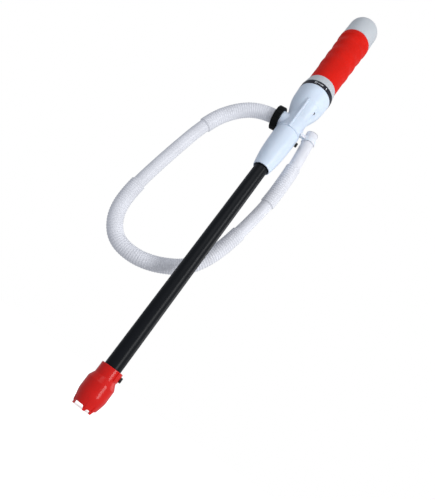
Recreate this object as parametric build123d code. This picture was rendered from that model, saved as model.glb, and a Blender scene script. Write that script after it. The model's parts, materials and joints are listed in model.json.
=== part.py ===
"""A battery-powered drum pump: twist-switch handle, motor, long suction tube and hose.

Units are millimetres. +Z runs up the pump's axis, the origin is the centre of the foot,
the outlet leaves towards -X, the hose clip is at +X, and the hose passes behind, at +Y.
"""
from build123d import *
from math import asin, cos, degrees, pi, radians, sin, tan
import os

os.makedirs("parts", exist_ok=True)

# ---- driving dimensions -------------------------------------------------------------
CELL_R, CELL_BODY, NUB_R, NUB_H = 17.1, 60.0, 4.75, 1.5      # two D cells
FIT = 0.05            # between parts that sit in each other
RUN = 0.04            # radial clearance of a shaft in its bush
GAP = 0.3             # between parts that move past each other

# strainer foot
FOOT_Z, BARREL_Z0, BARREL_Z1, COLLAR_Z0, COLLAR_Z1 = 0, 19, 30, 36.5, 48.3
RIM_R, BARREL_R, COLLAR_R, STRAINER_BORE = 12.4, 16.2, 12.85, 14.0
TOOTH_PAIRS = (-61, 59, 179)      # azimuth of the middle of each pair of feet
TOOTH_SPREAD = 38                 # between the two feet of a pair
TOOTH_W, WINDOW_H, NOTCH_H = 2.6, 4.2, 2.8
RIB_OUT, RIB_ANGLE, RIB_Z1 = 0.5, 9, 12                      # ribs above the feet
PAD_R, PAD_ANGLE, PAD_Z0 = COLLAR_R + 0.6, 48, 38            # raised panel under the screw

# pump end, inside the strainer
PUMP_R = STRAINER_BORE - FIT
PUMP_Z0, PUMP_WALL_Z0, PUMP_ROOF_Z0, PUMP_Z1 = 13.5, 15.4, 27.8, 30.5
IMPELLER_R, IMPELLER_Z0, IMPELLER_Z1 = 11.4, 16.4, 26.6
BLADES, BUSH_R, BUSH_Z1 = 6, 3.2, 33.5

# suction tube
TUBE_R_TOP, TUBE_R_LOW, TUBE_WALL = 9.55, 10.05, 1.5         # radii at the mouth and collar
TUBE_Z0, TUBE_Z1 = 30.7, 388
GUIDE_ZS, GUIDE_H = (110, 195, 280, 376), 8
STRAINER_SCREW_Z = 42.6

# lower body
MOUTH_Z, SEAM_Z = 351.5, 418.2
CONE_R, MOUTH_R = 17.45, 12.3
O_RING_Z, O_RING_R = 372, 1.1
BODY_SCREW_Z = 413.2

# motor housing
NECK_R, NECK_BORE, NECK_Z1 = 15.35, 12.0, 449.5
FLANGE_R, FLANGE_Z1 = 17.35, 421.0                           # the neck's foot, on the seam
SPIGOT_R, SPIGOT_Z = 14.6, 405                               # neck spigot in the lower body
BELL_R, HOUSING_Z1, BAND_R, BAND_Z1 = 24.65, 496, 24.85, 503.4
BULKHEAD_Z0, BULKHEAD_Z1 = 443, 446
SPINE_X0, SPINE_X1, SPINE_Z1 = -5.2, 13.0, 473
RECESS_AZ, RECESS_Z = -45, 462    # the housing screw's recess
LIP_Z = 492.5                     # underside of the lip that the retaining ring bears on

# motor
CARRIER_R, CARRIER_Z0 = 13.0, 447.4
MOTOR_R, MOTOR_WALL, MOTOR_Z0, MOTOR_Z1 = 12.0, 0.9, 450.8, 477.4
ROTOR_Z0, ROTOR_Z1 = 456.3, 471.1
END_BELL_Z1, BOSS_Z1, LEAD_Z = 480.2, 481.8, 482.0
MOTOR_SCREW_Y = 7.0
SHAFT_R, MOTOR_SHAFT_R, SHAFT_JOIN_Z = 1.5, 1.15, 424

# switch
BOARD_R, BOARD_Z0, BOARD_Z1 = 22.5, 484.6, 486.0
STOP_AZ = 200         # the lug that limits the switch's turn
SWITCH_TURN = 40      # degrees from off to on

# battery handle
CASE_R, CASE_BORE, NECK_THREAD_R = 20.0, 17.6, 19.2
CASE_SPIGOT_R, CASE_SPIGOT_Z = 21.0, 486.6
RING_R, RING_Z0, RING_Z1 = 22.3, 490, 492.2                  # retaining ring and its groove
CASE_FLOOR_Z, CASE_FLOOR_T = 516, 2.6
COLLAR_RING_R, GRIP_Z0, GRIP_Z1 = 24.3, 517.5, 626.8
GRIP_R, GRIP_BAND_R = 22.1, 24.15
CASE_TOP_Z, CAP_ROOF_Z, CAP_TOP_Z, CAP_R = 645, 661.5, 665, 23.6
SPRING_TURNS = 6

# outlet, measured along its axis
OUTLET_Z, OUTLET_AZ = 435.5, 168                             # its height and azimuth
SPOUT_R, SPOUT_BORE, SPOUT_END = 12.8, 6.5, 22.5
NUT_R, NUT_S0, NUT_S1, NUT_RIBS = 17.1, 18.4, 28.2, 18
TAIL_S0, TAIL_S1 = 23.7, 25.7                                # the hose tail's flange
HOSE_R, HOSE_BORE, HOSE_START = 10.0, 8.0, 25.9
CUFF_R, CUFF_BORE, CUFF_LENGTH = 8.5, 7.0, 17.5
CLIP_WALL, CLIP_HEIGHT = 1.3, 6.5

SCREW_R, SCREW_HEAD_R, SCREW_HEAD_H = 1.5, 3.2, 3.2

# The hose's route: each corner of its path, in order from the outlet to its free end.
OUTLET_DIR = Vector(cos(radians(OUTLET_AZ)), sin(radians(OUTLET_AZ)), 0)
HOSE_ROUTE = [
    (HOSE_START * OUTLET_DIR.X, HOSE_START * OUTLET_DIR.Y, OUTLET_Z),
    (-49, 10.4, 435),
    (-77, 16, 413),
    (-97, 21, 376),
    (-110, 26, 295),
    (-118, 31, 226),
    (-111, 34, 190),
    (-87, 36, 167),
    (-40, 36, 169.5),
    (12.5, 34, 204),
    (34.5, 26, 314),
    (35.5, 13, 379),
    (31.8, 5, 420),
    (29.2, 2, 444.5),
]


# ---- helpers ------------------------------------------------------------------------
def save(shape, node):
    """Write one node's STEP file."""
    export_step(shape, f"parts/{node}.step")


def turned(*outline):
    """A solid of revolution about Z. The outline holds (radius, height) corners, and a
    list of such points among them is a smooth curve from the corner before it."""
    edges, last = [], outline[0]
    for item in list(outline[1:]) + [outline[0]]:
        if isinstance(item, list):
            edges.append(Spline(*[(r, 0, z) for r, z in [last] + item]))
            last = item[-1]
        elif item != last:
            edges.append(Line((last[0], 0, last[1]), (item[0], 0, item[1])))
            last = item
    return revolve(make_face(Wire(edges)), Axis.Z, 360)


def ring(outer, inner, z0, z1):
    """A plain ring about Z, or a disc where inner is 0."""
    return turned((inner, z0), (outer, z0), (outer, z1), (inner, z1))


def rod(radius, start, end):
    """A cylinder from one point to another."""
    a, b = Vector(*start), Vector(*end)
    plane = Plane(origin=a, z_dir=b - a)
    return extrude(plane * Circle(radius), (b - a).length)


def along_outlet(s):
    """The point at distance s from the pump's axis, on the outlet's axis."""
    return (s * OUTLET_DIR.X, s * OUTLET_DIR.Y, OUTLET_Z)


def outlet_ring(outer, inner, s0, s1):
    """A ring about the outlet's axis."""
    body = rod(outer, along_outlet(s0), along_outlet(s1))
    return body - rod(inner, along_outlet(s0 - 1), along_outlet(s1 + 1)) if inner else body


def block(x0, x1, y0, y1, z0, z1):
    """A box between two corners."""
    return Pos((x0 + x1) / 2, (y0 + y1) / 2, (z0 + z1) / 2) * Box(x1 - x0, y1 - y0, z1 - z0)


def sector(radius, start, end, z0, z1):
    """A pie slice about Z between two azimuths, used to cut rings."""
    middle = (start + end) / 2
    corners = [(0, 0)] + [
        (radius * cos(radians(a)), radius * sin(radians(a))) for a in (start, middle, end)
    ]
    return extrude(Pos(0, 0, z0) * make_face(Polyline(*corners, close=True)), z1 - z0)


def tube_radius(z):
    """The suction tube's outer radius: it has moulding draft, and is widest at the foot."""
    return TUBE_R_TOP + (MOUTH_Z - z) * (TUBE_R_LOW - TUBE_R_TOP) / (MOUTH_Z - COLLAR_Z1)


def radial_screw(surface_x, z, tip_x, head_r=SCREW_HEAD_R, head_h=SCREW_HEAD_H, r=SCREW_R):
    """A cross-recessed pan-head screw along +X, its head seated at surface_x."""
    head = rod(head_r, (surface_x, 0, z), (surface_x + head_h, 0, z))
    outer = head.faces().sort_by(Axis.X)[-1]
    head = fillet(outer.edges(), head_h * 0.35)
    screw = head + rod(r, (tip_x, 0, z), (surface_x + 0.2, 0, z))
    for wide, tall in ((head_r * 1.1, 0.9), (0.9, head_r * 1.1)):
        screw -= Pos(surface_x + head_h, 0, z) * Box(1.8, wide, tall)
    return screw


# ---- strainer and pump end ----------------------------------------------------------
def foot_cutter(width_low, width_top, height, azimuth):
    """A slot through the skirt that is open at the bottom, with rounded top corners."""
    low, top = width_low / 2, width_top / 2
    outline = Polyline((5, -low, -1), (5, low, -1), (5, top, height), (5, -top, height),
                       close=True)
    slot = extrude(make_face(outline), 20, dir=(1, 0, 0))
    upper = slot.edges().filter_by(Axis.X).group_by(Axis.Z)[-1]
    return fillet(upper, min(1.4, top * 0.8)).rotate(Axis.Z, azimuth)


def make_strainer():
    tube_bore = TUBE_R_LOW + 0.15
    bore_top = PUMP_Z1 + 0.1
    shell = turned(
        (RIM_R - 1.8, FOOT_Z), (RIM_R, FOOT_Z), [(13.7, 5.8), (15.2, 11), (BARREL_R, BARREL_Z0)],
        (BARREL_R, BARREL_Z1), (COLLAR_R, COLLAR_Z0), (COLLAR_R, COLLAR_Z1),
        (tube_bore, COLLAR_Z1), (tube_bore, bore_top), (STRAINER_BORE, bore_top),
        (STRAINER_BORE, PUMP_Z0 - 0.1), (13.0, PUMP_Z0 - 0.1), (12.0, 6),
    )
    middle_r = RIM_R - 0.9
    half_tooth = degrees(asin(TOOTH_W / 2 / middle_r))
    for pair in TOOTH_PAIRS:
        notch = 2 * middle_r * sin(radians(TOOTH_SPREAD / 2 - half_tooth))
        shell -= foot_cutter(notch + 1.2, notch - 0.2, NOTCH_H, pair)
        half_window = 60 - TOOTH_SPREAD / 2 - half_tooth
        window = 2 * middle_r * sin(radians(half_window))
        shell -= foot_cutter(window + 1.2, window - 0.8, WINDOW_H, pair + 60)
    for z, radius in ((COLLAR_Z1, 0.6), (COLLAR_Z0, 2.0), (BARREL_Z1, 1.6)):
        edges = [e for e in shell.edges().filter_by(GeomType.CIRCLE)
                 if abs(e.center().Z - z) < 0.01 and e.radius > COLLAR_R - 0.1]
        shell = fillet(edges, radius)
    for pair in TOOTH_PAIRS:
        for azimuth in (pair - TOOTH_SPREAD / 2, pair + TOOTH_SPREAD / 2):
            rib = turned(
                (RIM_R - 1.0, WINDOW_H - 1.0), (RIM_R + 0.8 + RIB_OUT, WINDOW_H - 1.0),
                (13.7 + RIB_OUT, 5.8), (15.3 + RIB_OUT * 0.4, RIB_Z1), (13.8, RIB_Z1), (13.0, 7),
            )
            shell += rib & sector(30, azimuth - RIB_ANGLE / 2, azimuth + RIB_ANGLE / 2, 0, RIB_Z1)
    pad = ring(PAD_R, TUBE_R_LOW + 1.0, PAD_Z0, COLLAR_Z1 - 0.3)
    shell += pad & sector(30, -PAD_ANGLE, PAD_ANGLE, PAD_Z0, COLLAR_Z1)
    return shell - rod(SCREW_R + FIT, (8, 0, STRAINER_SCREW_Z), (18, 0, STRAINER_SCREW_Z))


def make_impeller():
    """A hub, a shroud disc above and the blades under it."""
    disc_z = IMPELLER_Z1 - 1.4
    body = ring(3.4, SHAFT_R, IMPELLER_Z0, IMPELLER_Z1)
    body += ring(IMPELLER_R, SHAFT_R, disc_z, disc_z + 1.0)
    for i in range(BLADES):
        arc = ThreePointArc((3.0, 0), (7.2, 2.2), (IMPELLER_R - 0.4, 0.4))
        blade = extrude(Pos(0, 0, IMPELLER_Z0 + 0.8) * trace(arc, 1.2), disc_z - IMPELLER_Z0 - 0.6)
        body += blade.rotate(Axis.Z, 360 / BLADES * i)
    return body - ring(SHAFT_R, 0, IMPELLER_Z0 - 1, IMPELLER_Z1 + 1)


def make_pump_casing():
    """A cup over the impeller whose roof has four ports round the shaft's bush."""
    inside = IMPELLER_R + 1.0
    body = turned((inside, PUMP_WALL_Z0), (PUMP_R, PUMP_WALL_Z0), (PUMP_R, PUMP_Z1),
                  (0, PUMP_Z1), (0, PUMP_ROOF_Z0), (inside, PUMP_ROOF_Z0))
    body -= ring(BUSH_R, 0, PUMP_ROOF_Z0 - 1, PUMP_Z1 + 1)
    for i in range(4):
        body -= Pos(6.0 * cos(pi / 2 * i), 6.0 * sin(pi / 2 * i), PUMP_Z1) * Cylinder(2.2, 8)
    return body


# ---- suction tube -------------------------------------------------------------------
def make_tube():
    tube = turned(
        (tube_radius(TUBE_Z0) - TUBE_WALL, TUBE_Z0), (tube_radius(TUBE_Z0), TUBE_Z0),
        (tube_radius(TUBE_Z1), TUBE_Z1), (tube_radius(TUBE_Z1) - TUBE_WALL, TUBE_Z1),
    )
    return tube - rod(SCREW_R, (5, 0, STRAINER_SCREW_Z), (18, 0, STRAINER_SCREW_Z))


def make_tube_guides():
    """Spoked bushes that keep the long drive shaft in the middle of the tube."""
    guides = []
    for z in GUIDE_ZS:
        inside = tube_radius(z + GUIDE_H) - TUBE_WALL - FIT
        guide = ring(3.4, 0, z, z + GUIDE_H)
        for i in range(3):
            guide += block(0, inside, -0.7, 0.7, z, z + GUIDE_H).rotate(Axis.Z, 120 * i + 30)
        guides.append(guide - ring(SHAFT_R + RUN, 0, z - 1, z + GUIDE_H + 1))
    return Compound(guides)


# ---- lower body ---------------------------------------------------------------------
def o_ring_centre():
    return tube_radius(O_RING_Z) + O_RING_R


def make_lower_body():
    """The cone that grips the tube's top, with a bore above for the neck's spigot."""
    seat = tube_radius(TUBE_Z1) + 0.12
    seat_low = tube_radius(MOUTH_Z) + 0.12
    spigot_floor = SPIGOT_Z - 1.1
    cone = turned(
        (11.0, MOUTH_Z), (MOUTH_R - 0.5, MOUTH_Z), (MOUTH_R, MOUTH_Z + 1.0),
        [(14.2, 363.5), (15.7, 375), (16.9, 393), (CONE_R, SEAM_Z - 0.5)], (CONE_R - 0.5, SEAM_Z),
        (SPIGOT_R + FIT, SEAM_Z), (SPIGOT_R + FIT, spigot_floor), (NECK_BORE, spigot_floor),
        (NECK_BORE, 399), (8.2, 392), (8.2, TUBE_Z1 + 0.1), (seat, TUBE_Z1 + 0.1),
        (seat_low, MOUTH_Z + 7.5), (11.0, MOUTH_Z + 3.5),
    )
    groove = o_ring_centre() + O_RING_R
    cone -= ring(groove, 0, O_RING_Z - O_RING_R, O_RING_Z + O_RING_R)
    return cone - rod(SCREW_R + FIT, (12, 0, BODY_SCREW_Z), (20, 0, BODY_SCREW_Z))


# ---- motor housing ------------------------------------------------------------------
def spine_slab(extra, x0, x1):
    """A slice of the neck's raised front between two x planes, standing out by extra."""
    envelope = turned((0, SEAM_Z + 1.2), (17.3 + extra, SEAM_Z + 1.2), (18.0 + extra, 443),
                      (22.7 + extra, SPINE_Z1 - 4), (22.7, SPINE_Z1), (0, SPINE_Z1))
    return envelope & block(x0, x1, -30, -4, SEAM_Z, SPINE_Z1 + 1)


def make_spine():
    """The raised front of the neck, with a rounded rib up its left edge."""
    rib = spine_slab(0.9, SPINE_X0, SPINE_X0 + 3.4)
    upright = [e for e in rib.edges().filter_by(Axis.X, reverse=True)
               if e.center().Y < -15 and e.bounding_box().size.Z > 10]
    return fillet(upright, 1.3) + spine_slab(0, SPINE_X0 + 2, SPINE_X1)


def make_housing():
    """The bell over the motor, with the neck below it and the outlet's spout."""
    shell = turned(
        (SPIGOT_R, SPIGOT_Z), (SPIGOT_R, SEAM_Z + 0.2), (FLANGE_R - 1.2, SEAM_Z + 0.2),
        (FLANGE_R, SEAM_Z + 1.2), (FLANGE_R, FLANGE_Z1), (NECK_R, FLANGE_Z1 + 1.6),
        (NECK_R, NECK_Z1),
        [(18.3, 458), (22.6, 471), (24.1, 483), (BELL_R, HOUSING_Z1)],
        (0, HOUSING_Z1), (0, SPIGOT_Z),
    )
    shell += make_spine()
    shell += rod(SPOUT_R, along_outlet(8), along_outlet(SPOUT_END))
    lip_bore = CASE_SPIGOT_R + GAP
    shell -= turned(
        (0, BULKHEAD_Z1), (NECK_BORE + 0.2, BULKHEAD_Z1), (NECK_BORE + 0.2, CARRIER_Z0),
        (CARRIER_R, CARRIER_Z0), (CARRIER_R, MOTOR_Z0 + 0.6), [(17.4, 460.5), (20.5, 472)],
        (20.5, BOARD_Z0), (BOARD_R + 0.1, BOARD_Z0), (BOARD_R + 0.1, LIP_Z),
        (lip_bore, LIP_Z), (lip_bore, HOUSING_Z1 + 1), (0, HOUSING_Z1 + 1),
    )
    shell -= ring(NECK_BORE, 0, SPIGOT_Z - 1, BULKHEAD_Z0)
    shell -= ring(5.0, 0, BULKHEAD_Z0 - 1, BULKHEAD_Z1 + 1)
    shell -= rod(SPOUT_BORE, along_outlet(4), along_outlet(SPOUT_END + 1))
    shell -= rod(SCREW_R, (8, 0, BODY_SCREW_Z), (20, 0, BODY_SCREW_Z))
    shell += rod(3.2, (13.3, 0, RECESS_Z), (19, 0, RECESS_Z)).rotate(Axis.Z, RECESS_AZ)
    shell -= rod(1.3, (12, 0, RECESS_Z), (26, 0, RECESS_Z)).rotate(Axis.Z, RECESS_AZ)
    shell -= rod(1.9, (18.6, 0, RECESS_Z), (28, 0, RECESS_Z)).rotate(Axis.Z, RECESS_AZ)
    stop_z = CASE_SPIGOT_Z + 1.4
    return shell + rod(1.2, (19.2, 0, stop_z), (23.2, 0, stop_z)).rotate(Axis.Z, STOP_AZ)


def make_clip():
    """A saddle on the neck, an arm, and an open ring that the hose's end snaps into."""
    top, low = Vector(*HOSE_ROUTE[-1]), Vector(*HOSE_ROUTE[-2])
    along = (top - low).normalized()
    centre = top - along * 12.5
    half = along * (CLIP_HEIGHT / 2)
    arm_z = centre.Z - 0.6
    ring_body = rod(CUFF_R + CLIP_WALL, centre - half, centre + half)
    saddle = ring(NECK_R + 1.6, NECK_R + FIT, arm_z - 4, arm_z + 4)
    saddle &= sector(30, -24, 24, arm_z - 5, arm_z + 5)
    arm = block(NECK_R + 0.6, 24, -2.5, 2.5, arm_z - 2.8, arm_z + 2.8)
    clip = saddle + arm + ring_body
    clip -= rod(CUFF_R, centre - along * 20, centre + along * 20)
    mouth = block(0, 30, -5.2, 5.2, centre.Z - 12, centre.Z + 12)
    return clip - Pos(centre.X, centre.Y, 0) * mouth.rotate(Axis.Z, 35)


# ---- motor --------------------------------------------------------------------------
def make_motor_can():
    can = turned(
        (1.2, CARRIER_Z0 + 1.6), (3.0, CARRIER_Z0 + 1.6), (3.0, MOTOR_Z0), (MOTOR_R, MOTOR_Z0),
        (MOTOR_R, MOTOR_Z1), (MOTOR_R - MOTOR_WALL, MOTOR_Z1),
        (MOTOR_R - MOTOR_WALL, MOTOR_Z0 + 1.2), (1.2, MOTOR_Z0 + 1.2),
    )
    for side in (-1, 1):
        can -= Pos(0, side * MOTOR_SCREW_Y, MOTOR_Z0) * Cylinder(1.0, 6)
    return can


def make_carrier():
    plate = ring(CARRIER_R - FIT, 3.1, CARRIER_Z0, MOTOR_Z0)
    for side in (-1, 1):
        plate -= Pos(0, side * MOTOR_SCREW_Y, CARRIER_Z0) * Cylinder(1.1, 12)
        plate -= Pos(0, side * MOTOR_SCREW_Y, CARRIER_Z0) * Cylinder(2.2, 3.2)
    return plate


def make_motor_screws():
    screws = []
    for side in (-1, 1):
        head = Pos(0, side * MOTOR_SCREW_Y, CARRIER_Z0 + 0.8) * Cylinder(2.0, 1.4)
        shank = Pos(0, side * MOTOR_SCREW_Y, CARRIER_Z0 + 3.1) * Cylinder(1.0, 3.4)
        screws.append(head + shank)
    return Compound(screws)


def make_magnets():
    magnet = ring(MOTOR_R - MOTOR_WALL, 8.6, ROTOR_Z0 - 2, ROTOR_Z1 + 1.5)
    return Compound([magnet & sector(40, a - 60, a + 60, MOTOR_Z0, MOTOR_Z1) for a in (0, 180)])


def make_armature():
    """Three laminated poles round the shaft."""
    core = ring(3.0, MOTOR_SHAFT_R, ROTOR_Z0, ROTOR_Z1)
    for i in range(3):
        pole = block(2, 7.2, -1.2, 1.2, ROTOR_Z0, ROTOR_Z1)
        shoe = ring(8.2, 6.6, ROTOR_Z0, ROTOR_Z1) & sector(20, -48, 48, ROTOR_Z0, ROTOR_Z1)
        core += (pole + shoe).rotate(Axis.Z, 120 * i)
    return core


def make_windings():
    """One coil wound round each pole."""
    coils = []
    for i in range(3):
        coil = block(3.6, 5.9, -2.6, 2.6, ROTOR_Z0 - 1.4, ROTOR_Z1 + 1.4)
        coil -= block(3, 7, -1.2, 1.2, ROTOR_Z0, ROTOR_Z1)
        coils.append(coil.rotate(Axis.Z, 120 * i))
    return Compound(coils)


def make_end_bell():
    return ring(MOTOR_R, 1.2, MOTOR_Z1, END_BELL_Z1) + ring(3.0, 1.2, END_BELL_Z1, BOSS_Z1)


def make_terminals():
    return Compound([block(x - 0.3, x + 0.3, -1.4, 1.4, END_BELL_Z1, LEAD_Z + 1.4)
                     for x in (-8, 8)])


def make_brushes():
    return Compound([block(*sorted((s * 3.1, s * 6.5)), -1.0, 1.0, MOTOR_Z1 - 2.9, MOTOR_Z1 - 0.7)
                     for s in (-1, 1)])


def make_lead(side):
    """An insulated wire from a motor terminal to the contact board."""
    route = [(side * 8.3, 0, LEAD_Z), (side * 14.5, 0, LEAD_Z), (side * 14.5, 0, BOARD_Z0)]
    path = FilletPolyline(*route, radius=1.6)
    return sweep(Plane(origin=route[0], z_dir=(side, 0, 0)) * Circle(0.75), path)


# ---- switch -------------------------------------------------------------------------
def make_fixed_contacts():
    pad = ring(13, 8.5, BOARD_Z1, BOARD_Z1 + 0.4)
    return Compound([pad & sector(30, a - 14, a + 14, BOARD_Z1 - 1, BOARD_Z1 + 1)
                     for a in (60, 180, 300)])


def make_wiper():
    """Three sprung fingers on a post from the case's floor."""
    tip_z = BOARD_Z1 + 0.4 + GAP
    wiper = ring(4.2, 0, tip_z + 1.0, tip_z + 1.5)
    for i in range(3):
        arm = block(3, 11.6, -1.6, 1.6, tip_z + 1.0, tip_z + 1.5)
        arm += Pos(11, 0, tip_z + 0.9) * Cylinder(1.4, 1.8)
        wiper += arm.rotate(Axis.Z, 20 + 120 * i)
    return wiper + ring(2.0, 0, tip_z + 1.2, CASE_FLOOR_Z + CASE_FLOOR_T)


# ---- handle -------------------------------------------------------------------------
def make_battery_case():
    """The tube for the cells: a spigot below, a collar, the grip's barrel and a threaded neck."""
    floor = CASE_FLOOR_Z + CASE_FLOOR_T
    collar_z = BAND_Z1 + GAP
    case = turned(
        (2.0, CASE_FLOOR_Z), (18.5, CASE_FLOOR_Z), (18.5, CASE_SPIGOT_Z),
        (CASE_SPIGOT_R, CASE_SPIGOT_Z), (CASE_SPIGOT_R, RING_Z0), (20.2, RING_Z0),
        (20.2, RING_Z1), (CASE_SPIGOT_R, RING_Z1), (CASE_SPIGOT_R, collar_z),
        (COLLAR_RING_R - 0.5, collar_z), (COLLAR_RING_R, collar_z + 0.5),
        [(COLLAR_RING_R - 0.6, 509.5), (GRIP_R + 0.3, GRIP_Z0)],
        (CASE_R, GRIP_Z0), (CASE_R, GRIP_Z1), (NECK_THREAD_R, GRIP_Z1),
        (NECK_THREAD_R, CASE_TOP_Z), (CASE_BORE, CASE_TOP_Z), (CASE_BORE, floor), (2.0, floor),
    )
    slot_z1 = RING_Z0 - 0.4
    slot = ring(22, 18, CASE_SPIGOT_Z - 1, slot_z1)
    slot &= sector(60, STOP_AZ - SWITCH_TURN - 5, STOP_AZ + 5, CASE_SPIGOT_Z - 2, slot_z1 + 1)
    strip_groove = block(-2.6, 2.6, 15, CASE_BORE + 0.45, floor, CASE_TOP_Z + 1)
    return case - slot - strip_groove


def make_grip():
    """The sleeve: plain at its foot, then soft finger swells and a raised band at the top."""
    return turned(
        (CASE_R, GRIP_Z0), (GRIP_R, GRIP_Z0), (GRIP_R, 545),
        [(GRIP_R + 0.05, 549), (23.0, 559.5), (22.3, 569), (23.25, 580), (22.3, 591.5),
         (23.5, 602), (22.6, 611.5), (GRIP_BAND_R, 618)],
        (GRIP_BAND_R, GRIP_Z1 - 1.0), (GRIP_BAND_R - 0.8, GRIP_Z1), (CASE_R, GRIP_Z1),
    )


def make_cell(z0):
    body = turned(
        (0, z0), (NUB_R - 0.4, z0), (NUB_R, z0 + 0.4), (NUB_R, z0 + NUB_H),
        (CELL_R - 1.0, z0 + NUB_H), (CELL_R, z0 + NUB_H + 1.0),
        (CELL_R, z0 + NUB_H + CELL_BODY - 1.0), (CELL_R - 1.0, z0 + NUB_H + CELL_BODY),
        (0, z0 + NUB_H + CELL_BODY),
    )
    return body


def make_cap():
    """The screw cap, its top rounded over; the bore runs on the case's threaded neck."""
    thread_bore = NECK_THREAD_R + 0.1
    skirt_z, seal_z, neck_z = GRIP_Z1 + GAP, GRIP_Z1 + 1.8, CASE_TOP_Z + GAP
    return turned(
        (thread_bore, seal_z), (20.6, seal_z), (20.6, skirt_z), (CAP_R - 0.5, skirt_z),
        (CAP_R, skirt_z + 0.5), (CAP_R - 0.5, 657), [(CAP_R - 1.6, 661.8), (CAP_R - 5.0, CAP_TOP_Z)],
        (0, CAP_TOP_Z), (0, CAP_ROOF_Z), (CASE_BORE, CAP_ROOF_Z), (CASE_BORE, neck_z),
        (thread_bore, neck_z),
    )


def make_cap_spring(z0, z1):
    """A coil that stands on the last cell and carries the cap's contact plate."""
    wire, coil_r = 0.5, 8.0
    height = z1 - z0 - 2 * wire
    helix = Pos(0, 0, z0 + wire) * Helix(pitch=height / SPRING_TURNS, height=height, radius=coil_r)
    start = Plane(origin=helix @ 0, z_dir=helix % 0)
    return sweep(start * Circle(wire), helix, is_frenet=True)


# ---- outlet -------------------------------------------------------------------------
def make_nut():
    """The union nut, with grip flutes round it."""
    wall_s = TAIL_S1 + 0.1
    nut = outlet_ring(NUT_R, SPOUT_R + 0.6, NUT_S0, wall_s)
    nut += outlet_ring(NUT_R, HOSE_R + 1.4, wall_s, NUT_S1)
    outer = [e for e in nut.edges().filter_by(GeomType.CIRCLE) if e.radius > NUT_R - 0.1]
    nut = fillet(outer, 1.1)
    start, end = along_outlet(NUT_S0 + 1.6), along_outlet(NUT_S1 - 1.6)
    for i in range(NUT_RIBS):
        a = 2 * pi / NUT_RIBS * i
        up, side = sin(a) * (NUT_R + 0.9), cos(a) * (NUT_R + 0.9)
        offset = (-side * OUTLET_DIR.Y, side * OUTLET_DIR.X, up)
        nut -= rod(1.6, [p + q for p, q in zip(start, offset)], [p + q for p, q in zip(end, offset)])
    return nut


def make_hose_tail():
    """The flanged tail that the nut clamps, with barbs that grip the hose's bore."""
    tail = outlet_ring(SPOUT_R, 0, TAIL_S0, TAIL_S1) + outlet_ring(7.2, 0, TAIL_S0 + 1, TAIL_S1 + 14)
    for s in (TAIL_S1 + 1.8, TAIL_S1 + 6.3):
        plane = Plane(origin=along_outlet(s), z_dir=OUTLET_DIR)
        tail += extrude(plane * Circle(HOSE_BORE - FIT), 3.4, taper=12)
    return tail - rod(5.6, along_outlet(TAIL_S0 - 3), along_outlet(TAIL_S1 + 20))


def make_hose():
    """The hose as a plain tube along its route, with a thinner cuff at its free end."""
    points = [Vector(*p) for p in HOSE_ROUTE]
    tip, last_run = points[-1], points[-1] - points[-2]
    cuff_start = tip - last_run.normalized() * CUFF_LENGTH
    points[-1] = cuff_start
    runs = [(b - a).length for a, b in zip(points, points[1:])]
    radii = []
    for i in range(1, len(points) - 1):
        turn = radians((points[i] - points[i - 1]).get_angle(points[i + 1] - points[i]))
        radii.append(0.45 * min(runs[i - 1], runs[i]) / tan(turn / 2))
    print("hose arc radii:", [round(r) for r in radii])
    path = FilletPolyline(*points, radius=radii)
    start = Plane(origin=points[0], z_dir=OUTLET_DIR)
    tube = sweep(start * Circle(HOSE_R), path) - sweep(start * Circle(HOSE_BORE), path)
    section = pi * (HOSE_R ** 2 - HOSE_BORE ** 2)
    print("hose path", round(path.length), "mm; volume over section times length:",
          round(tube.volume / (section * path.length), 4))
    cuff = rod(CUFF_R, cuff_start, tip) - rod(CUFF_BORE, cuff_start, tip)
    return tube + cuff


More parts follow.
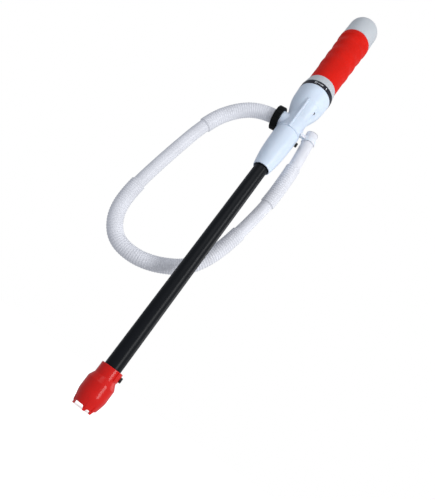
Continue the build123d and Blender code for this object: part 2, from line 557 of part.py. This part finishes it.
# ---- write every node ---------------------------------------------------------------
def main():
    floor = CASE_FLOOR_Z + CASE_FLOOR_T
    contact_top = floor + 0.8
    cell_pitch = NUB_H + CELL_BODY
    stack_top = contact_top + 2 * cell_pitch
    plate_z = CAP_ROOF_Z - 0.8

    save(make_strainer(), "strainer")
    save(ring(PUMP_R, 5.4, PUMP_Z0, PUMP_WALL_Z0), "inlet_plate")
    save(make_pump_casing(), "pump_casing")
    save(ring(BUSH_R, SHAFT_R + RUN, IMPELLER_Z1 + GAP, BUSH_Z1), "lower_shaft_bush")
    save(make_impeller(), "impeller")
    save(ring(SHAFT_R, 0, IMPELLER_Z0 - 0.4, SHAFT_JOIN_Z), "drive_shaft")
    save(make_tube(), "suction_tube")
    save(make_tube_guides(), "tube_guides")
    save(Pos(0, 0, O_RING_Z) * Torus(o_ring_centre(), O_RING_R - 0.02), "tube_o_ring")
    save(radial_screw(PAD_R, STRAINER_SCREW_Z, 8.9, 3.0, 2.5), "strainer_screw")

    save(make_lower_body(), "lower_body")
    save(ring(14.4, NECK_BORE + 0.2, SPIGOT_Z - 1.0, SPIGOT_Z - 0.02), "body_gasket")
    save(radial_screw(CONE_R + 0.1, BODY_SCREW_Z, 12.2), "body_screw")
    save(make_housing(), "motor_housing")
    housing_screw = radial_screw(18.6, RECESS_Z, 14, 1.8, 1.1, 1.3)
    save(housing_screw.rotate(Axis.Z, RECESS_AZ), "housing_screw")
    save(ring(BAND_R, CASE_SPIGOT_R + GAP, HOUSING_Z1, BAND_Z1), "switch_label_band")
    save(make_clip(), "hose_clip")

    seal_bore = MOTOR_SHAFT_R + RUN
    save(turned((seal_bore, BULKHEAD_Z0 - 1), (3.0, BULKHEAD_Z0 - 1), (5.0, BULKHEAD_Z0),
                (5.0, BULKHEAD_Z1 + 0.8), (seal_bore, BULKHEAD_Z1 + 0.8)), "shaft_seal")
    coupling = ring(4.0, 0, SHAFT_JOIN_Z - 9, SHAFT_JOIN_Z + 11)
    coupling -= ring(SHAFT_R, 0, SHAFT_JOIN_Z - 10, SHAFT_JOIN_Z)
    save(coupling - ring(MOTOR_SHAFT_R, 0, SHAFT_JOIN_Z, SHAFT_JOIN_Z + 12), "shaft_coupling")
    save(make_carrier(), "motor_carrier")
    save(make_motor_screws(), "motor_screws")
    save(make_motor_can(), "motor_can")
    save(make_magnets(), "motor_magnets")
    save(make_end_bell(), "motor_end_bell")
    save(make_terminals(), "motor_terminals")
    save(make_brushes(), "motor_brushes")
    save(ring(MOTOR_SHAFT_R, 0, SHAFT_JOIN_Z, BOSS_Z1 - 0.2), "motor_shaft")
    save(make_armature(), "armature_core")
    save(make_windings(), "armature_windings")
    save(ring(3.0, MOTOR_SHAFT_R, ROTOR_Z1 + 1.8, MOTOR_Z1 - 0.5), "commutator")
    save(make_lead(-1), "lead_negative")
    save(make_lead(1), "lead_positive")

    save(ring(BOARD_R, 3.5, BOARD_Z0, BOARD_Z1), "contact_board")
    save(make_fixed_contacts(), "fixed_contacts")
    save(make_wiper(), "switch_wiper")
    clip_ring = ring(RING_R, 20.2, RING_Z0 + FIT, RING_Z1 - FIT)
    save(clip_ring - sector(60, 80, 100, RING_Z0 - 1, RING_Z1 + 1), "retaining_ring")
    save(make_battery_case(), "battery_case")
    save(make_grip(), "grip_sleeve")
    save(ring(12, 0, floor, contact_top), "base_contact")
    strip = block(-2.5, 2.5, CASE_BORE, CASE_BORE + 0.42, floor, CASE_TOP_Z)
    save(strip, "negative_strip")
    save(make_cell(contact_top), "cell_lower")
    save(make_cell(contact_top + cell_pitch), "cell_upper")
    save(ring(20.3, NECK_THREAD_R, GRIP_Z1, GRIP_Z1 + 1.4), "cap_seal_ring")
    save(ring(15, 0, plate_z, CAP_ROOF_Z), "cap_contact_plate")
    save(make_cap_spring(stack_top, plate_z), "cap_contact_spring")
    save(make_cap(), "battery_cap")

    save(outlet_ring(12.4, 7.0, SPOUT_END, TAIL_S0), "outlet_gasket")
    save(make_hose_tail(), "hose_tail")
    save(make_nut(), "hose_nut")
    save(make_hose(), "discharge_hose")


main()
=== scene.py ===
"""Looks for the battery drum pump: materials, ribbed hose, printed marks, light and camera.

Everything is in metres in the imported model's own frame: +Z up the pump's axis, the foot at z = 0.
"""
import json
import math

import bpy
from mathutils import Matrix, Vector


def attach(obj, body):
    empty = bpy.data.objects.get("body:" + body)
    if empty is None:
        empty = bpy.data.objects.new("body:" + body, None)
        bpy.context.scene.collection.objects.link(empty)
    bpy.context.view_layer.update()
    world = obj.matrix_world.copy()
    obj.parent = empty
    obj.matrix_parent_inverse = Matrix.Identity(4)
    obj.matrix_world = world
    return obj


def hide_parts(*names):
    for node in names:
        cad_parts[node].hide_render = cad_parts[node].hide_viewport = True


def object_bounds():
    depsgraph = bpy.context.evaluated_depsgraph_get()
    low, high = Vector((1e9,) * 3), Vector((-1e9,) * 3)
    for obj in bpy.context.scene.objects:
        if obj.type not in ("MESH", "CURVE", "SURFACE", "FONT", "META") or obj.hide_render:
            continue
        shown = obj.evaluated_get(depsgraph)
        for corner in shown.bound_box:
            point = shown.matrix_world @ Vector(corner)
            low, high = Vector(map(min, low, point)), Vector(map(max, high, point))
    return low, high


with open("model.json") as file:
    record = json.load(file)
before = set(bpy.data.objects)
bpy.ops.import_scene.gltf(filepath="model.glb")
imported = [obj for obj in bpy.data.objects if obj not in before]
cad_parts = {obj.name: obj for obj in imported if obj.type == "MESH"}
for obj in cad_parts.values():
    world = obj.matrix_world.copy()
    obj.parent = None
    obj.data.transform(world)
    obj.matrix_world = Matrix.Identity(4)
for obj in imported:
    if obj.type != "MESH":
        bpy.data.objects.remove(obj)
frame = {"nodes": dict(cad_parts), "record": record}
cad_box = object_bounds()
MM = 0.001

# ---- camera -------------------------------------------------------------------------
VIEW_TILT = math.radians(20.94)     # the camera looks up the pump by this much
VIEW_ROLL = math.radians(35.97)     # and is rolled, so that the pump leans to the right
AIM = Vector((0.0164, 0.0, 0.2243))    # the point in the middle of the picture
DISTANCE = 0.5168                   # from the camera to that point
LENS, SENSOR = 31.2, 36.0           # in millimetres

# ---- light --------------------------------------------------------------------------
AMBIENT_LEFT, AMBIENT_RIGHT = (0.41, 0.43, 0.47), (0.60, 0.61, 0.63)
FLOOR_WHITE = (0.9, 0.9, 0.9)
FLOOR_HALF, FLOOR_GLOW = 6.0, 0.65  # half its width, and what it shines on top of its light
# name: (place, point that it faces, (width, height), watts)
LIGHTS = {
    "key": ((0.75, -0.75, 0.40), (0, 0, 0.30), (0.36, 1.2), 7.5),
    "front": ((-0.3, -1.3, 1.1), (0, 0, 0.35), (1.0, 1.0), 3.5),
    "right": ((1.1, 0.5, 0.6), (0, 0, 0.30), (0.6, 0.9), 2.5),
}

# ---- colours ------------------------------------------------------------------------
HOUSING = (0.64, 0.73, 0.85)
CAP = (0.52, 0.55, 0.58)
CLIP = (0.74, 0.77, 0.83)
HOSE = (0.73, 0.74, 0.79)
GRIP_RED = (0.66, 0.007, 0.001)
FOOT_RED = (0.62, 0.004, 0.001)
GLOSS_BLACK = (0.006, 0.007, 0.009)
NUT_BLACK = (0.006, 0.007, 0.007)
SCREW_BLACK = (0.008, 0.008, 0.008)
BAND_BLACK = (0.005, 0.006, 0.014)
SEAL_BLACK = (0.012, 0.012, 0.012)
MARK_PALE = (0.75, 0.77, 0.80)
INNER_GREY = (0.34, 0.35, 0.37)
STEEL = (0.62, 0.62, 0.64)
BRASS = (0.78, 0.62, 0.34)
COPPER = (0.72, 0.30, 0.14)
MAGNET = (0.05, 0.05, 0.055)
WIRE_RED = (0.5, 0.02, 0.02)
WIRE_BLACK = (0.01, 0.01, 0.01)
CELL = (0.03, 0.035, 0.05)

# ---- hose ---------------------------------------------------------------------------
OUTLET_AZ = math.radians(168)
OUTLET_DIR = Vector((math.cos(OUTLET_AZ), math.sin(OUTLET_AZ), 0))
OUTLET_Z = 0.4355
HOSE_START = 0.0259                 # from the pump's axis, at the hose tail's flange
HOSE_ROUTE = [
    (HOSE_START * OUTLET_DIR.x, HOSE_START * OUTLET_DIR.y, OUTLET_Z),
    (-0.049, 0.0104, 0.435),
    (-0.077, 0.016, 0.413),
    (-0.097, 0.021, 0.376),
    (-0.110, 0.026, 0.295),
    (-0.118, 0.031, 0.226),
    (-0.111, 0.034, 0.190),
    (-0.087, 0.036, 0.167),
    (-0.040, 0.036, 0.1695),
    (0.0125, 0.034, 0.204),
    (0.0345, 0.026, 0.314),
    (0.0355, 0.013, 0.379),
    (0.0318, 0.005, 0.420),
    (0.0292, 0.002, 0.4445),
]
RIB_PITCH, RIB_R, ROOT_R = 3.2 * MM, 10.3 * MM, 9.95 * MM   # corrugated stretches
SMOOTH_R, CUFF_R, CUFF_BORE = 8.6 * MM, 8.45 * MM, 7.0 * MM
# Corrugated stretches, as distances along the hose; the rest of it is smooth.
CORRUGATED = [(0.004, 0.108), (0.231, 0.492), (0.548, 0.612)]
LAST_RIB = CORRUGATED[-1][1]        # the smooth cuff follows it
CUFF_START = LAST_RIB + 4 * MM      # where the cuff's own straight bore begins
RIB_EASE = 3 * MM                   # how long the ribs take to rise or fade
HOSE_WALL = 1.4 * MM
CUFF_LIP = 0.7 * MM                 # radius of the cuff's rounded end
HOSE_SIDES = 40                     # corners in one ring of the hose's mesh
RINGS_PER_RIB = 7
CUFF_RING_GAP, BORE_RING_GAP = 3 * MM, 2.3 * MM     # between the rings of the inner wall
INNER_MARGIN = 2 * MM               # at each end of the inner wall, without more rings

# ---- printed marks ------------------------------------------------------------------
BAND_R, BAND_Z = 24.85 * MM, 499.7 * MM     # the label band's radius and middle height
MARK_LIFT = 0.03 * MM                       # how far the print stands off the band
# Sizes on the band in plain millimetres, and places as degrees round the pump's axis.
MARK_HEIGHT, TICK_HEIGHT = 3.6, 2.16
RING_STROKE, BAR_WIDTH, TICK_WIDTH = 0.6, 0.8, 0.5
RING_STEPS = 24
WEDGE_START, WEDGE_STEP, WEDGE_STEPS = -5.455, 1.364, 6
WEDGE_TIP, WEDGE_GROWTH = 0.15, 0.08        # half its height at the tip, and more at each step
OFF_AT, ON_AT, WEDGE_AT = -112, -72, -92
TICKS_AT = (60, 75, 90, 105, 120)


# ---- small helpers ------------------------------------------------------------------
def link(obj):
    bpy.context.scene.collection.objects.link(obj)
    return obj


def mesh_object(name, verts, faces, material):
    """A smooth-shaded mesh object from plain lists."""
    mesh = bpy.data.meshes.new(name)
    mesh.from_pydata([tuple(v) for v in verts], [], faces)
    mesh.validate()
    mesh.update()
    for polygon in mesh.polygons:
        polygon.use_smooth = True
    mesh.materials.append(material)
    return link(bpy.data.objects.new(name, mesh))


def smoothstep(x):
    x = min(1.0, max(0.0, x))
    return x * x * (3 - 2 * x)


# ---- materials ----------------------------------------------------------------------
NOISE_LOW, NOISE_HIGH = 0.3, 0.7    # nearly all of a noise lies between these
EDGE_LOW, EDGE_HIGH = 0.60, 0.75    # pointiness where an edge starts to look worn, and is fully so
FINE = 0.004 * MM                   # ripple depth of the glossy parts


class Nodes:
    """A node tree with the few calls that the materials need."""

    def __init__(self, name):
        self.material = bpy.data.materials.new(name)
        self.material.use_nodes = True
        self.tree = self.material.node_tree
        self.tree.nodes.clear()
        out = self.tree.nodes.new("ShaderNodeOutputMaterial")
        self.shader = self.tree.nodes.new("ShaderNodeBsdfPrincipled")
        self.link(self.shader.outputs["BSDF"], out.inputs["Surface"])
        self.where = self.tree.nodes.new("ShaderNodeTexCoord").outputs["Object"]

    def link(self, a, b):
        self.tree.links.new(a, b)

    def set(self, **values):
        for key, value in values.items():
            self.shader.inputs[key.replace("_", " ")].default_value = value

    def noise(self, size, detail=3.0, stretch=(1, 1, 1)):
        """A noise whose features are about size metres across."""
        mapping = self.tree.nodes.new("ShaderNodeMapping")
        mapping.inputs["Scale"].default_value = [1 / (size * s) for s in stretch]
        self.link(self.where, mapping.inputs["Vector"])
        texture = self.tree.nodes.new("ShaderNodeTexNoise")
        texture.inputs["Scale"].default_value = 1.0
        texture.inputs["Detail"].default_value = detail
        self.link(mapping.outputs["Vector"], texture.inputs["Vector"])
        return texture.outputs["Fac"]

    def tint(self, value, low, high):
        """Runs from one colour to another over the middle of a noise's range."""
        node = self.tree.nodes.new("ShaderNodeValToRGB")
        ends = ((NOISE_LOW, low), (NOISE_HIGH, high))
        for element, (position, colour) in zip(node.color_ramp.elements, ends):
            element.position = position
            element.color = (*colour, 1.0)
        self.link(value, node.inputs["Fac"])
        return node.outputs["Color"]

    def span(self, value, low, high, from_low=NOISE_LOW, from_high=NOISE_HIGH):
        """Maps a value to a plain range."""
        node = self.tree.nodes.new("ShaderNodeMapRange")
        for key, number in (("From Min", from_low), ("From Max", from_high),
                            ("To Min", low), ("To Max", high)):
            node.inputs[key].default_value = number
        self.link(value, node.inputs["Value"])
        return node.outputs["Result"]

    def mix(self, factor, a, b):
        """Mixes two colours, each a tuple or a socket."""
        node = self.tree.nodes.new("ShaderNodeMix")
        node.data_type = "RGBA"
        self.link(factor, node.inputs["Factor"])
        for value, socket in ((a, node.inputs["A"]), (b, node.inputs["B"])):
            if isinstance(value, tuple):
                socket.default_value = (*value, 1.0)
            else:
                self.link(value, socket)
        return node.outputs["Result"]

    def bump(self, heights):
        """Bumps from (height socket, depth in metres) pairs, one upon the other."""
        last = None
        for height, depth in heights:
            node = self.tree.nodes.new("ShaderNodeBump")
            node.inputs["Strength"].default_value = 1.0
            node.inputs["Distance"].default_value = depth
            self.link(height, node.inputs["Height"])
            if last is not None:
                self.link(last, node.inputs["Normal"])
            last = node.outputs["Normal"]
        self.link(last, self.shader.inputs["Normal"])


def shade(colour, factor):
    return tuple(min(1.0, c * factor) for c in colour)


def moulded(name, colour, roughness, depth=0.02 * MM, spread=0.06, sub=0.0,
            specular=0.5, wear=0.25, gloss=0.0):
    """Moulded plastic: slow colour drift, gentle ripples, scuffs and paler worn edges."""
    n = Nodes(name)
    drift = n.noise(40 * MM, 2.0)
    drifting = n.tint(drift, shade(colour, 1 - spread), shade(colour, 1 + spread))
    edge = n.tree.nodes.new("ShaderNodeNewGeometry").outputs["Pointiness"]
    worn = n.span(edge, 0.0, wear, EDGE_LOW, EDGE_HIGH)
    pale = tuple(c + (1 - c) * 0.35 for c in colour)
    n.link(n.mix(worn, drifting, pale), n.shader.inputs["Base Color"])
    scuff = n.noise(8 * MM, 2.0, (1, 1, 4))
    n.link(n.span(scuff, roughness * 0.9, roughness * 1.15), n.shader.inputs["Roughness"])
    n.set(Specular_IOR_Level=specular, Subsurface_Weight=sub, Coat_Weight=gloss, Coat_Roughness=0.12)
    n.shader.inputs["Subsurface Radius"].default_value = (0.004, 0.003, 0.003)
    n.bump([(n.noise(8 * MM, 1.0), depth)])
    return n.material


def metal(name, colour, roughness):
    """Bare metal, slightly tarnished, with a fine grain."""
    n = Nodes(name)
    grain = 0.4 * MM
    n.set(Metallic=1.0)
    tarnish = n.noise(6 * MM, 4.0)
    n.link(n.tint(tarnish, shade(colour, 0.85), colour), n.shader.inputs["Base Color"])
    n.link(n.span(n.noise(grain), roughness * 0.7, roughness * 1.3),
           n.shader.inputs["Roughness"])
    n.bump([(n.noise(grain), 0.003 * MM)])
    return n.material


def soft_rubber(name, colour, roughness=0.55):
    """Grip rubber: a matt, finely pitted skin that is slightly uneven."""
    n = Nodes(name)
    drift = n.noise(25 * MM)
    n.link(n.tint(drift, shade(colour, 0.93), shade(colour, 1.06)), n.shader.inputs["Base Color"])
    n.link(n.span(n.noise(2 * MM, 5.0), roughness * 0.85, roughness * 1.15),
           n.shader.inputs["Roughness"])
    n.set(Specular_IOR_Level=0.12)
    n.bump([(n.noise(0.8 * MM, 2.0), 0.01 * MM), (n.noise(8 * MM, 2.0), 0.03 * MM)])
    return n.material


def vinyl(name, colour):
    """The hose's milky vinyl: a soft gloss over a colour that clouds unevenly."""
    n = Nodes(name)
    roughness = 0.33
    cloud = n.noise(20 * MM, 1.0)
    n.link(n.tint(cloud, shade(colour, 0.95), shade(colour, 1.04)), n.shader.inputs["Base Color"])
    n.link(n.span(n.noise(10 * MM, 1.0), roughness * 0.9, roughness * 1.1),
           n.shader.inputs["Roughness"])
    n.set(Specular_IOR_Level=0.3)
    n.bump([(n.noise(12 * MM, 1.0), 0.02 * MM)])
    return n.material


SLOT_MATERIALS = {
    "housing_plastic": moulded("housing_plastic", HOUSING, 0.34, sub=0.12),
    "cap_plastic": moulded("cap_plastic", CAP, 0.38, sub=0.12),
    "grip_red": soft_rubber("grip_red", GRIP_RED),
    "clip_plastic": moulded("clip_plastic", CLIP, 0.3, sub=0.3),
    "strainer_red": moulded("strainer_red", FOOT_RED, 0.35, spread=0.05, wear=0.0,
                            specular=0.1, gloss=0.45, depth=FINE),
    "black_plastic": moulded("black_plastic", GLOSS_BLACK, 0.26, specular=0.12, wear=0.0, depth=FINE),
    "nut_black": moulded("nut_black", NUT_BLACK, 0.45, specular=0.06, wear=0.0),
    "hose_clear": vinyl("hose_clear", HOSE),
    "label_ink": moulded("label_ink", BAND_BLACK, 0.36, specular=0.3, wear=0.0),
    "inner_plastic": moulded("inner_plastic", INNER_GREY, 0.45),
    "seal_rubber": soft_rubber("seal_rubber", SEAL_BLACK, 0.5),
    "steel": metal("steel", STEEL, 0.25),
    "screw_black": moulded("screw_black", SCREW_BLACK, 0.35, specular=0.4),
    "contact_brass": metal("contact_brass", BRASS, 0.3),
    "copper": metal("copper", COPPER, 0.35),
    "magnet": moulded("magnet", MAGNET, 0.6),
    "wire_red": soft_rubber("wire_red", WIRE_RED),
    "wire_black": soft_rubber("wire_black", WIRE_BLACK),
    "cell_jacket": moulded("cell_jacket", CELL, 0.3),
}
MARK_WHITE = moulded("mark_white", MARK_PALE, 0.5, wear=0.0)

for part in frame["record"]["subparts"]:
    node = frame["nodes"][part["node"]]
    node.data.materials.clear()
    node.data.materials.append(SLOT_MATERIALS[part["material_slot"]])


# ---- the hose -----------------------------------------------------------------------
def route_points():
    """The hose's smooth centreline, read from its spline."""
    curve = bpy.data.curves.new("hose_route", "CURVE")
    curve.dimensions = "3D"
    spline = curve.splines.new("NURBS")
    spline.points.add(len(HOSE_ROUTE) - 1)
    for point, place in zip(spline.points, HOSE_ROUTE):
        point.co = (*place, 1.0)
    spline.order_u = 3
    spline.use_endpoint_u = True
    spline.resolution_u = 64
    holder = bpy.data.objects.new("hose_route", curve)
    mesh = bpy.data.meshes.new_from_object(holder)
    points = [v.co.copy() for v in mesh.vertices]
    bpy.data.meshes.remove(mesh)
    bpy.data.objects.remove(holder)
    bpy.data.curves.remove(curve)
    return points


class Path:
    """A polyline that gives a point and a steady cross-section frame at any distance along it."""

    def __init__(self, points):
        self.points = points
        self.at = [0.0]
        for a, b in zip(points, points[1:]):
            self.at.append(self.at[-1] + (b - a).length)
        self.length = self.at[-1]
        self.tangents = []
        for i in range(len(points)):
            ahead, behind = points[min(i + 1, len(points) - 1)], points[max(i - 1, 0)]
            self.tangents.append((ahead - behind).normalized())
        side = self.tangents[0].orthogonal().normalized()
        self.sides = [side]
        for t in self.tangents[1:]:
            side = (side - t * side.dot(t)).normalized()
            self.sides.append(side)

    def frame(self, s):
        """The point at distance s, and two directions across the hose there."""
        s = min(max(s, 0.0), self.length)
        i = next((k for k in range(len(self.at) - 1) if self.at[k + 1] >= s), len(self.at) - 2)
        f = (s - self.at[i]) / max(self.at[i + 1] - self.at[i], 1e-9)
        place = self.points[i].lerp(self.points[i + 1], f)
        tangent = self.tangents[i].lerp(self.tangents[i + 1], f).normalized()
        side = self.sides[i].lerp(self.sides[i + 1], f)
        side = (side - tangent * side.dot(tangent)).normalized()
        return place, side, tangent.cross(side)


def hose_radius(s):
    """The hose's outer radius at a distance along it: ribbed stretches between smooth ones."""
    amount = 0.0
    for start, end in CORRUGATED:
        rise = smoothstep((s - start) / RIB_EASE + 0.5)
        fade = smoothstep((end - s) / RIB_EASE + 0.5)
        amount = max(amount, rise * fade)
    crest = 0.5 - 0.5 * math.cos(2 * math.pi * s / RIB_PITCH)
    ribbed = ROOT_R + (RIB_R - ROOT_R) * smoothstep(crest)
    plain = CUFF_R if s > LAST_RIB else SMOOTH_R
    return plain + (ribbed - plain) * amount


def hose_rings(length):
    """(distance, radius) of each ring: along the outside, round the cuff's lip, back inside."""
    rings = []
    s = 0.0
    while s < length:
        rings.append((s, hose_radius(s)))
        s += RIB_PITCH / RINGS_PER_RIB
    for angle in (0, 30, 60, 90):
        along, inward = 1 - math.sin(math.radians(angle)), 1 - math.cos(math.radians(angle))
        rings.append((length - CUFF_LIP * along, CUFF_R - CUFF_LIP * inward))
    for angle in (30, 60, 90):
        along, outward = 1 - math.cos(math.radians(angle)), 1 - math.sin(math.radians(angle))
        rings.append((length - CUFF_LIP * along, CUFF_BORE + CUFF_LIP * outward))
    s = length - INNER_MARGIN
    while s > CUFF_START:
        rings.append((s, CUFF_BORE))
        s -= CUFF_RING_GAP
    while s > INNER_MARGIN:
        rings.append((s, hose_radius(s) - HOSE_WALL))
        s -= BORE_RING_GAP
    rings.append((0.0, hose_radius(0.0) - HOSE_WALL))
    return rings


def build_hose():
    path = Path(route_points())
    rings = hose_rings(path.length)
    verts, faces = [], []
    for s, radius in rings:
        place, side, other = path.frame(s)
        for k in range(HOSE_SIDES):
            a = 2 * math.pi * k / HOSE_SIDES
            verts.append(place + side * radius * math.cos(a) + other * radius * math.sin(a))
    for i in range(len(rings)):
        ring, following = i * HOSE_SIDES, (i + 1) % len(rings) * HOSE_SIDES
        for k in range(HOSE_SIDES):
            beside = (k + 1) % HOSE_SIDES
            faces.append((ring + k, ring + beside, following + beside, following + k))
    hose = mesh_object("clear_hose", verts, faces, SLOT_MATERIALS["hose_clear"])
    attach(hose, "pump_body")
    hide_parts("discharge_hose")


build_hose()


# ---- printed marks ------------------------------------------------------------------
def band_patch(name, azimuth, outline):
    """A printed shape on the band; the outline holds (mm to the right, mm up) corners.

    Its first half runs along one edge, and its second half comes back along the other.
    """
    radius = BAND_R + MARK_LIFT
    verts = []
    for across, up in outline:
        a = math.radians(azimuth) + across * MM / BAND_R
        verts.append((radius * math.cos(a), radius * math.sin(a), BAND_Z + up * MM))
    last = len(outline) - 1
    faces = [(k, k + 1, last - 1 - k, last - k) for k in range(len(outline) // 2 - 1)]
    patch = mesh_object(name, verts, faces, MARK_WHITE)
    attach(patch, "pump_body")


def bar(width, height):
    """An upright bar's outline."""
    w, h = width / 2, height / 2
    return [(-w, -h), (w, -h), (w, h), (-w, h)]


def ring_strip(radius, width):
    """A ring's outline: its outer edge all the way round, then its inner edge back."""
    angles = [2 * math.pi * k / RING_STEPS for k in range(RING_STEPS + 1)]
    outer, inner = radius + width / 2, radius - width / 2
    there = [(outer * math.cos(a), outer * math.sin(a)) for a in angles]
    back = [(inner * math.cos(a), inner * math.sin(a)) for a in reversed(angles)]
    return there + back


def wedge():
    """A long wedge's outline: its lower edge from the tip, then its upper edge back."""
    lower = [(WEDGE_START + WEDGE_STEP * k, -WEDGE_TIP - WEDGE_GROWTH * k)
             for k in range(WEDGE_STEPS + 1)]
    upper = [(x, -y) for x, y in reversed(lower)]
    return lower + upper


def build_marks():
    """Plain marks for the switch: a ring for off, a bar for on and a wedge between them."""
    band_patch("mark_off", OFF_AT, ring_strip((MARK_HEIGHT - RING_STROKE) / 2, RING_STROKE))
    band_patch("mark_on", ON_AT, bar(BAR_WIDTH, MARK_HEIGHT))
    band_patch("mark_wedge", WEDGE_AT, wedge())
    for azimuth in TICKS_AT:
        band_patch(f"mark_tick_{azimuth}", azimuth, bar(TICK_WIDTH, TICK_HEIGHT))


build_marks()


# ---- stage, light and camera --------------------------------------------------------
def build_surround():
    """A white surround for the camera, and a dimmer one, brighter to the right, for the light."""
    world = bpy.data.worlds.new("studio")
    world.use_nodes = True
    tree = world.node_tree
    output = tree.nodes["World Output"]
    white = tree.nodes["Background"]
    white.inputs["Color"].default_value = (1.0, 1.0, 1.0, 1.0)
    where = tree.nodes.new("ShaderNodeTexCoord")
    split = tree.nodes.new("ShaderNodeSeparateXYZ")
    tree.links.new(where.outputs["Generated"], split.inputs["Vector"])
    ramp = tree.nodes.new("ShaderNodeValToRGB")
    across = tree.nodes.new("ShaderNodeMapRange")
    across.inputs["From Min"].default_value = -1.0
    tree.links.new(split.outputs["X"], across.inputs["Value"])
    tree.links.new(across.outputs["Result"], ramp.inputs["Fac"])
    ramp.color_ramp.elements[0].color = (*AMBIENT_LEFT, 1.0)
    ramp.color_ramp.elements[1].color = (*AMBIENT_RIGHT, 1.0)
    ambient = tree.nodes.new("ShaderNodeBackground")
    tree.links.new(ramp.outputs["Color"], ambient.inputs["Color"])
    seen = tree.nodes.new("ShaderNodeLightPath")
    choose = tree.nodes.new("ShaderNodeMixShader")
    tree.links.new(seen.outputs["Is Camera Ray"], choose.inputs["Fac"])
    tree.links.new(ambient.outputs["Background"], choose.inputs[1])
    tree.links.new(white.outputs["Background"], choose.inputs[2])
    tree.links.new(choose.outputs["Shader"], output.inputs["Surface"])
    bpy.context.scene.world = world


def build_floor():
    """A plain pale floor under the foot, bright enough to meet the white surround with no line."""
    n = Nodes("floor")
    n.set(Base_Color=(*FLOOR_WHITE, 1.0), Roughness=0.9, Specular_IOR_Level=0.0,
          Emission_Color=(1.0, 1.0, 1.0, 1.0), Emission_Strength=FLOOR_GLOW)
    corners = [(x * FLOOR_HALF, y * FLOOR_HALF, cad_box[0][2])
               for x, y in ((-1, -1), (1, -1), (1, 1), (-1, 1))]
    floor = mesh_object("floor", corners, [(0, 1, 2, 3)], n.material)
    # It is seen, but takes no part in lighting the pump, which keeps the surround's light.
    floor.visible_diffuse = False
    floor.visible_glossy = False
    floor.visible_transmission = False
    floor.visible_shadow = False


def area_light(name, place, aim, size, power):
    light = bpy.data.lights.new(name, "AREA")
    light.shape = "RECTANGLE"
    light.size, light.size_y = size
    light.energy = power
    lamp = link(bpy.data.objects.new(name, light))
    lamp.location = place
    lamp.rotation_euler = (Vector(aim) - Vector(place)).to_track_quat("-Z", "Y").to_euler()


def build_camera():
    """A camera in front of the pump, tilted upwards and rolled about its own line of sight."""
    forward = Vector((0, math.cos(VIEW_TILT), math.sin(VIEW_TILT)))
    level_right = Vector((1, 0, 0))
    level_up = Vector((0, -math.sin(VIEW_TILT), math.cos(VIEW_TILT)))
    right = level_right * math.cos(VIEW_ROLL) + level_up * math.sin(VIEW_ROLL)
    up = level_up * math.cos(VIEW_ROLL) - level_right * math.sin(VIEW_ROLL)
    data = bpy.data.cameras.new("camera")
    data.lens, data.sensor_width = LENS, SENSOR
    camera = link(bpy.data.objects.new("camera", data))
    turn = Matrix((right, up, -forward)).transposed().to_4x4()
    camera.matrix_world = Matrix.Translation(AIM - forward * DISTANCE) @ turn
    bpy.context.scene.camera = camera


build_surround()
build_floor()
for light_name, settings in LIGHTS.items():
    area_light(light_name, *settings)
build_camera()
bpy.context.scene.view_settings.view_transform = "Standard"
